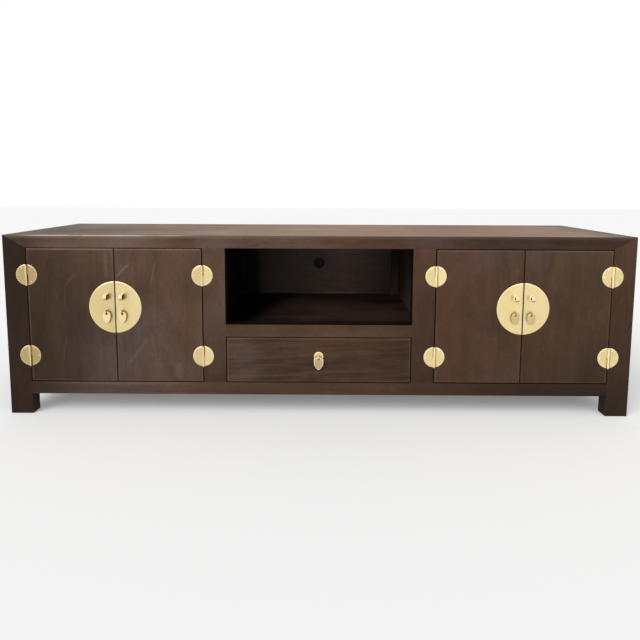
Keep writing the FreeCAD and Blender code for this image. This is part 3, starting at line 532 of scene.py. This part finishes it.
def worn_and_lit_edge(tree, coords, node):
    """How pale a front is near its edges from wear and a painted highlight, in some places more than in
    others.
    """
    patchy = noise(tree, coords, 7.0, 2.0)
    wear = near_edges(tree, coords, node, WORN_AND_LIT_EDGES[node], WEAR_AND_HIGHLIGHT_WIDTH)
    return product(tree, wear, spread(tree, patchy, 0.34, 0.58, 0.35, 1.0))


def joint_dirt_and_shade(tree, coords, node, colour):
    """The dirt and painted shade that make the joint round a front read as a dark line."""
    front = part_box(node)[0][1]
    depth = parts_of(tree, coords)[1]
    reach = spread(tree, depth, front + 3 * MILLIMETRE, front + 9 * MILLIMETRE, 1.0, 0.2)
    share = near_edges(tree, coords, node, JOINT_DIRT_AND_SHADE[node], DIRT_AND_SHADE_WIDTH)
    return blend(tree, product(tree, share, reach), colour, rgb(DIRT_AND_SHADE))


# The top
def board_tone(tree, across):
    """The tones of the boards of the top, which meet above the middles of the stiles."""
    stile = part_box("right_front_stile")
    joint_x = (stile[0][0] + stile[1][0]) / 2
    half_step = MILLIMETRE / 2
    left, middle, right = BOARD_TONES
    return through(tree, across, ((-joint_x - half_step, left), (-joint_x + half_step, middle),
                                  (joint_x - half_step, middle), (joint_x + half_step, right)))


def top_sheen_colour(tree, coords, along, seed, grain):
    """The colour of the top as a painted sheen, each of its boards in its own tone and its ends dull."""
    fibre, line, pore = grain
    across = parts_of(tree, coords)[0]
    streak = grained(tree, coords, along, 0.06, seed + 19, 34.0, 4.0, 0.6)
    patch = grained(tree, coords, along, 0.5, seed + 23, 7.0, 3.0)
    light = product(tree, board_tone(tree, across),
                    fade_light(tree, coords, "X", "front_top_rail", TOP_SHEEN_LIGHTS),
                    spread(tree, streak, 0.3, 0.7, 0.82, 1.16),
                    spread(tree, patch, 0.3, 0.7, 0.86, 1.14), spread(tree, pore, 0.0, 1.0, 1.0, 0.8),
                    spread(tree, fibre, 0.25, 0.75, 0.92, 1.08),
                    spread(tree, line, 0.0, 1.0, 1.03, 0.86))
    pink = grained(tree, coords, along, 0.6, seed + 31, 4.0, 2.0)
    pinker = spread(tree, pink, 0.42, 0.58, smooth=True)
    colour = shaded(tree, blend(tree, pinker, rgb(TOP_SHEEN), rgb(TOP_SHEEN_PINK)), light)
    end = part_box("front_top_rail")[1][0]
    from_middle = calc(tree, "ABSOLUTE", across)
    dull = spread(tree, from_middle, end - 130 * MILLIMETRE, end - 10 * MILLIMETRE, smooth=True)
    return blend(tree, product(tree, dull, 0.85), colour, rgb(TOP_END))


def painted_arris_highlight(tree, coords):
    """The painted highlight on the top's front arris, most along its left half, and the paler painted
    band below.
    """
    low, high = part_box("front_top_rail")
    front, top = low[1], high[2]
    across, depth, height = parts_of(tree, coords)
    on_front = spread(tree, depth, front + 4 * MILLIMETRE, front + 2 * MILLIMETRE)
    at_top = spread(tree, height, top - 3.6 * MILLIMETRE, top - 1.8 * MILLIMETRE)
    patchy = spread(tree, noise(tree, coords, 9.0, 3.0), 0.36, 0.5, 0.5, 1.0)
    arris = product(tree, at_top, on_front, through(tree, across, ARRIS_HIGHLIGHT_SHARES), patchy)
    below_top = spread(tree, height, top - 11 * MILLIMETRE, top - 2 * MILLIMETRE, 0.0, 0.16)
    band = product(tree, below_top, on_front, spread(tree, across, -0.35, 0.0, 1.0, 0.4))
    return calc(tree, "MAXIMUM", arris, band)


# The niche
def shelf_light(tree, coords, node):
    """Light on the niche's shelf, whose left end the window does not reach."""
    low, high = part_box(node)
    across, depth = parts_of(tree, coords)[:2]
    leaning = calc(tree, "SUBTRACT", across, spread(tree, depth, low[1], high[1], 0.0, SHELF_LEAN))
    reached = spread(tree, leaning, SHELF_DARK_TO, SHELF_LIT_FROM, 0.04, 1.0, smooth=True)
    sheen = grained(tree, coords, "X", 0.35, 3, 15.0, 2.0)
    return product(tree, reached, spread(tree, depth, low[1], high[1], 0.34, 1.9),
                   spread(tree, sheen, 0.36, 0.64, 0.6, 1.4, smooth=True))


def niche_back_light(tree, coords):
    """Light on the niche's back, and full light beyond it, on the back of the left compartment."""
    across = parts_of(tree, coords)[0]
    compartment = spread(tree, across, COMPARTMENT_FROM, COMPARTMENT_FROM - MILLIMETRE)
    return calc(tree, "MAXIMUM", through(tree, across, NICHE_BACK_LIGHT), compartment)


def niche_side(tree, coords, normal):
    """1 on the sides of the niche's frame that look into it, behind its front arrises."""
    inner_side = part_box("right_front_stile")[0][0]
    drawer_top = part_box("drawer_front")[1][2]
    across, _, height = parts_of(tree, coords)
    from_middle = calc(tree, "ABSOLUTE", across)
    between = spread(tree, from_middle, inner_side + 2 * MILLIMETRE, inner_side)
    above = spread(tree, height, drawer_top + 10 * MILLIMETRE, drawer_top + 12 * MILLIMETRE)
    sideways = spread(tree, calc(tree, "ABSOLUTE", normal[1]), 0.7, 0.3)
    return product(tree, between, above, sideways)


# The woods
def wood(node, seed, along, tone, red, cool=0.0):
    """Stained wood with the wear and the shade that belong to its place on the cabinet."""
    material, tree, shader = start_material(f"stain_{node}")
    coords, normal = own_coords(tree), own_normal(tree)
    grain = [layer(tree, coords, along, seed) for layer in (fibres, growth_lines, pores)]
    light = stain_light(tree, coords, node, along, seed, tone, grain)
    colour = stain_colour(tree, coords, along, seed, red, cool)
    for *place, strength, other in CLOUDS.get(node, ()):
        colour = marked(tree, coords, colour, place, strength, other)
    if node in IN_NICHE:
        on_shelf = node == "niche_shelf"
        gloom = shelf_light(tree, coords, node) if on_shelf else niche_back_light(tree, coords)
        light = product(tree, light, spread(tree, normal[1], 0.5, 0.0, 1.0, gloom))
        colour = blend(tree, IN_NICHE[node], colour, rgb(DUSK))
    # Painted shade on the sides that look into the niche
    if node in SHADED_NICHE_SIDES:
        light = product(tree, light, spread(tree, niche_side(tree, coords, normal), 0.0, 1.0, 1.0, 0.10))
    if node in SCUFFED:
        share = product(tree, scuffs(tree, coords, seed), SCUFFED[node])
        colour = blend(tree, share, colour, rgb(PALE_WEAR_AND_HIGHLIGHT))
    # Scuffs, and the painted highlights on the back panel and the front bottom rail
    for *place, strength in STROKES.get(node, ()):
        colour = marked(tree, coords, colour, place, strength, PALE_WEAR_AND_HIGHLIGHT)
    colour = shaded(tree, colour, light)
    # Pale wear and a painted highlight along the front's edges
    if node in WORN_AND_LIT_EDGES:
        colour = blend(tree, worn_and_lit_edge(tree, coords, node), colour, rgb(PALE_WEAR_AND_HIGHLIGHT))
        # Dirt and painted shade in the joint round the front
        colour = joint_dirt_and_shade(tree, coords, node, colour)
    # The upward faces of the top take its painted sheen
    if node in TOPS:
        up = spread(tree, normal[2], 0.55, 0.90, smooth=True)
        colour = blend(tree, up, colour, top_sheen_colour(tree, coords, along, seed, grain))
    # Painted highlight on the top's front arris and the band below it
    if node == "front_top_rail":
        colour = blend(tree, painted_arris_highlight(tree, coords), colour, rgb(ARRIS_HIGHLIGHT))
    fibre, _, pore = grain
    rubbed = grained(tree, coords, along, 0.4, seed + 1, 6.0, 3.0)
    rough = calc(tree, "ADD", spread(tree, rubbed, 0.3, 0.7, 0.38, 0.54), product(tree, pore, 0.15))
    height = calc(tree, "SUBTRACT", product(tree, fibre, 0.35), product(tree, pore, 0.5))
    fill(tree, shader, {"Base Color": colour, "Roughness": rough,
                        "Specular IOR Level": 0.05 if node in TOPS else 0.10,
                        "Normal": bump(tree, height, 0.35, 0.25 * MILLIMETRE)})
    return material


def plain_wood(node, seed, along):
    """The unstained wood that only shows with a door or the drawer open."""
    material, tree, shader = start_material(f"plain_{node}")
    coords = own_coords(tree)
    fibre, line, pore = [layer(tree, coords, along, seed) for layer in (fibres, growth_lines, pores)]
    value = calc(tree, "SUBTRACT", product(tree, fibre, 0.8), product(tree, line, 0.12))
    colour = blend(tree, spread(tree, value, 0.2, 0.6), rgb(PLAIN_DARK), rgb(PLAIN_PALE))
    colour = blend(tree, product(tree, pore, 0.4), colour, rgb(PLAIN_PORE))
    fill(tree, shader, {"Base Color": colour, "Roughness": 0.6, "Specular IOR Level": 0.3,
                        "Normal": bump(tree, fibre, 0.4, 0.2 * MILLIMETRE)})
    return material


# The brass
def hinge_light(tree, coords):
    """The hinges near the ends of the front are duller, and those on the left browner too."""
    across = parts_of(tree, coords)[0]
    return through(tree, across, HINGE_LIGHT), through(tree, across, HINGE_WARMTH)


def brass_face(tree, coords, node, seed, tone, warm, frontal):
    """Clouded brass in the tone of its piece, with a painted highlight, partly rubbed bright, on its
    bevels.
    """
    cloud = grained(tree, coords, "Z", 0.7, seed, 22.0, 3.0)
    face = blend(tree, spread(tree, cloud, 0.35, 0.65), rgb(BRASS), rgb(BRASS_PALE))
    light = tone
    if node == "hinge_frame_leaves":
        light, warm = hinge_light(tree, coords)
    face = shaded(tree, blend(tree, warm, face, rgb(BRASS_WARM)), light)
    # Painted highlight on the bevels, partly rubbed bright
    bevel = spread(tree, frontal, 0.990, 0.970, smooth=True)
    return blend(tree, product(tree, bevel, 0.5 * min(1.0, tone)), face, rgb(BRASS_HIGHLIGHT))


def raised(tree, coords):
    """1 on tack heads and barrels, which stand in front of the face of the plates."""
    face_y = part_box("left_outer_face_plate")[0][1]
    depth = parts_of(tree, coords)[1]
    return spread(tree, depth, face_y - 0.1 * MILLIMETRE, face_y - 0.4 * MILLIMETRE)


def beside_barrel(tree, coords):
    """The thin shade on the right hinges just right of their barrels."""
    across = parts_of(tree, coords)[0]
    share = 0.0
    for before, after in RIGHT_BARRELS:
        axis = (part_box(before)[1][0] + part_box(after)[0][0]) / 2
        away = calc(tree, "SUBTRACT", across, axis)
        share = calc(tree, "MAXIMUM", share, through(tree, away, BARREL_SHADE))
    return product(tree, share, calc(tree, "SUBTRACT", 1.0, raised(tree, coords)))


def hinge_marks(tree, coords, colour):
    """The glint on tack heads and barrels, stronger to the right, and the shade beside barrels."""
    glint = spread(tree, parts_of(tree, coords)[0], -0.3, 0.3, 0.35, 0.75)
    colour = blend(tree, product(tree, raised(tree, coords), glint), colour, rgb(BRASS_GLINT))
    return blend(tree, beside_barrel(tree, coords), colour, rgb(BRASS_BROWN_SHADE))


def eye_shade(tree, coords, normal, node):
    """The shaded side, underside and hole of a lock eye."""
    low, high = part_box(node)
    half = (high[2] - low[2]) / 2
    depth, height = parts_of(tree, coords)[1:]
    depth = calc(tree, "SUBTRACT", depth, low[1] + half)
    height = calc(tree, "SUBTRACT", height, low[2] + half)
    squares = calc(tree, "ADD", product(tree, depth, depth), product(tree, height, height))
    hole = spread(tree, calc(tree, "SQRT", squares), half * 0.58, half * 0.52)
    side = spread(tree, normal[0], 0.40, 0.90, smooth=True)
    under = spread(tree, normal[2], -0.25, -0.75, smooth=True)
    return calc(tree, "MAXIMUM", calc(tree, "MAXIMUM", side, hole), product(tree, under, 0.85))


def behind_pendant(tree, coords, node, share, drop):
    """How far a face plate takes another colour behind its pendant: grime with painted shadow on the
    left plates, painted light on the right ones.
    """
    pendant = node.replace("face_plate", "pendant")
    return spread(tree, beyond(tree, coords, pendant, 0.65, 0.95, drop), 0.0, 1.0, share, 0.0)


def brass(node, seed, tone, warm):
    """Satin brass: a painted highlight, partly rubbed bright, where it stands out, and painted shade
    where it turns from the light.
    """
    material, tree, shader = start_material(f"brass_{node}")
    coords, normal = own_coords(tree), own_normal(tree)
    frontal = calc(tree, "ABSOLUTE", normal[1])
    colour = brass_face(tree, coords, node, seed, tone, warm, frontal)
    # Painted shade on walls that turn from the face; on pieces other than plates and lock eyes, only on
    # walls that face right, away from the light
    wall = spread(tree, frontal, 0.62, 0.30, smooth=True)
    dull = wall
    metal = 1.0
    shade_colour = BRASS_WALL_SHADE
    if not node.endswith(("plate", "lock_eye")):
        wall = product(tree, wall, spread(tree, normal[0], -0.6, 0.6))
    if "hinge" in node:
        colour = hinge_marks(tree, coords, colour)
        shade_colour = BRASS_BROWN_SHADE
    elif node.endswith("lock_eye"):
        # The left side painted paler against the plate's yellow light, and painted shade on the right
        # side, underside and hole
        left_side = spread(tree, normal[0], -0.40, -0.90, smooth=True)
        colour = shaded(tree, blend(tree, left_side, rgb(EYE_BRIGHT), rgb(EYE_LIT_SIDE)), tone)
        wall = eye_shade(tree, coords, normal, node)
        metal = EYE_METAL
        shade_colour = EYE_BROWN
    elif node.endswith("face_plate"):
        # Behind the pendants grime with painted shadow on the left plates, painted light on the right
        # ones; dirt and painted shade along the seam
        share, other, drop = BEHIND_PENDANT_SHADOW_AND_LIGHT[node]
        behind = behind_pendant(tree, coords, node, share, drop)
        colour = joint_dirt_and_shade(tree, coords, node, blend(tree, behind, colour, rgb(other)))
        dull = calc(tree, "MAXIMUM", wall, behind)
    elif node == "drawer_pendant":
        # Painted highlight round the drawer pendant's rim
        rim_highlight = product(tree, beyond(tree, coords, node, 0.50, 0.85), 0.7)
        colour = blend(tree, rim_highlight, colour, rgb(BRASS_HIGHLIGHT))
    speck = noise(tree, coords, 900.0, 2.0)
    rough = calc(tree, "ADD", spread(tree, speck, 0.3, 0.7, 0.36, 0.48), product(tree, wall, 0.4))
    fill(tree, shader, {"Base Color": blend(tree, wall, colour, rgb(shade_colour)), "Roughness": rough,
                        "Metallic": spread(tree, dull, 0.0, 1.0, metal, 0.0),
                        "Specular IOR Level": 0.1,
                        "Normal": bump(tree, speck, 0.12, 0.1 * MILLIMETRE)})
    return material


def dress_nodes():
    for seed, node in enumerate(sorted(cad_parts), start=1):
        if node in STAINED:
            material = wood(node, seed, *STAINED[node])
        elif node in PLAIN:
            material = plain_wood(node, seed, PLAIN[node])
        else:
            material = brass(node, seed, *BRASS_LIT_TONES.get(node, PLAIN_BRASS))
        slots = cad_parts[node].data.materials
        slots.clear()
        slots.append(material)


# The studio
def shows_background(tree):
    """1 for what the camera sees itself, in a gloss or through glass, and 0 for light."""
    path = add(tree, "ShaderNodeLightPath").outputs
    direct = calc(tree, "MAXIMUM", path["Is Camera Ray"], path["Is Glossy Ray"])
    return calc(tree, "MAXIMUM", direct, path["Is Transmission Ray"])


def make_floor():
    below_feet = 0.5 * MILLIMETRE
    bpy.ops.mesh.primitive_plane_add(size=FLOOR_SIZE, location=(0, 0, -below_feet))
    floor = bpy.context.object
    floor.name = "floor"
    material, tree, shader = start_material("pale_floor")
    glow = product(tree, shows_background(tree), FLOOR_GLOW)
    fill(tree, shader, {"Base Color": rgb(FLOOR_GREY), "Roughness": 0.8, "Specular IOR Level": 0.0,
                        "Emission Color": WHITE, "Emission Strength": glow})
    floor.data.materials.append(material)


def make_dark_backdrop():
    """A dark disc behind the cable hole: painted shade where the hole looks through, darker towards its
    bottom.
    """
    hole_radius = 20 * MILLIMETRE
    hole_z = 383 * MILLIMETRE
    gap = 0.5 * MILLIMETRE
    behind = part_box("back_panel")[1][1] + gap
    bpy.ops.mesh.primitive_circle_add(radius=hole_radius + 2 * gap, fill_type="NGON",
                                      location=(0, behind, hole_z), rotation=(math.pi / 2, 0, 0))
    backdrop = bpy.context.object
    backdrop.name = "dark_backdrop"
    material, tree, shader = start_material("painted_hole_shade")
    upward = parts_of(tree, own_coords(tree))[1]
    dim = spread(tree, upward, -hole_radius, hole_radius, 0.8, 2.2)
    fill(tree, shader, {"Base Color": shaded(tree, rgb(HOLE_SHADE), dim), "Roughness": 1.0,
                        "Specular IOR Level": 0.0})
    backdrop.data.materials.append(material)


def make_world():
    world = bpy.data.worlds.new("studio")
    bpy.context.scene.world = world
    world.use_nodes = True
    tree = world.node_tree
    background = next(node for node in tree.nodes if node.type == "BACKGROUND")
    strength = spread(tree, shows_background(tree), 0.0, 1.0, WORLD_LIGHT, 1.0)
    fill(tree, background, {"Color": WHITE, "Strength": strength})


def make_sun(name, strength, softness, azimuth, elevation):
    lamp = bpy.data.lights.new(name, "SUN")
    lamp.energy = strength
    lamp.angle = math.radians(softness)
    sun = bpy.data.objects.new(name, lamp)
    bpy.context.scene.collection.objects.link(sun)
    turn = math.radians(azimuth)
    rise = math.radians(elevation)
    toward = Vector((math.sin(turn) * math.cos(rise), -math.cos(turn) * math.cos(rise), math.sin(rise)))
    sun.rotation_euler = toward.to_track_quat("Z", "Y").to_euler()


def make_camera():
    lens = bpy.data.cameras.new("photo_camera")
    lens.sensor_width = SENSOR_WIDTH_MM
    lens.lens = FOCAL_PIXELS / PHOTO_SIZE * SENSOR_WIDTH_MM
    middle = PHOTO_SIZE / 2
    lens.shift_x = (middle - PRINCIPAL_X) / PHOTO_SIZE
    lens.shift_y = (PRINCIPAL_Y - middle) / PHOTO_SIZE
    camera = bpy.data.objects.new("photo_camera", lens)
    bpy.context.scene.collection.objects.link(camera)
    camera.location = CAMERA_PLACE
    camera.rotation_euler = (math.pi / 2 + CAMERA_PITCH, CAMERA_ROLL, CAMERA_YAW)
    bpy.context.scene.camera = camera


dress_nodes()
make_floor()
make_dark_backdrop()
make_world()
for name, values in SUNS.items():
    make_sun(name, *values)
make_camera()
bpy.context.scene.view_settings.view_transform = "Standard"
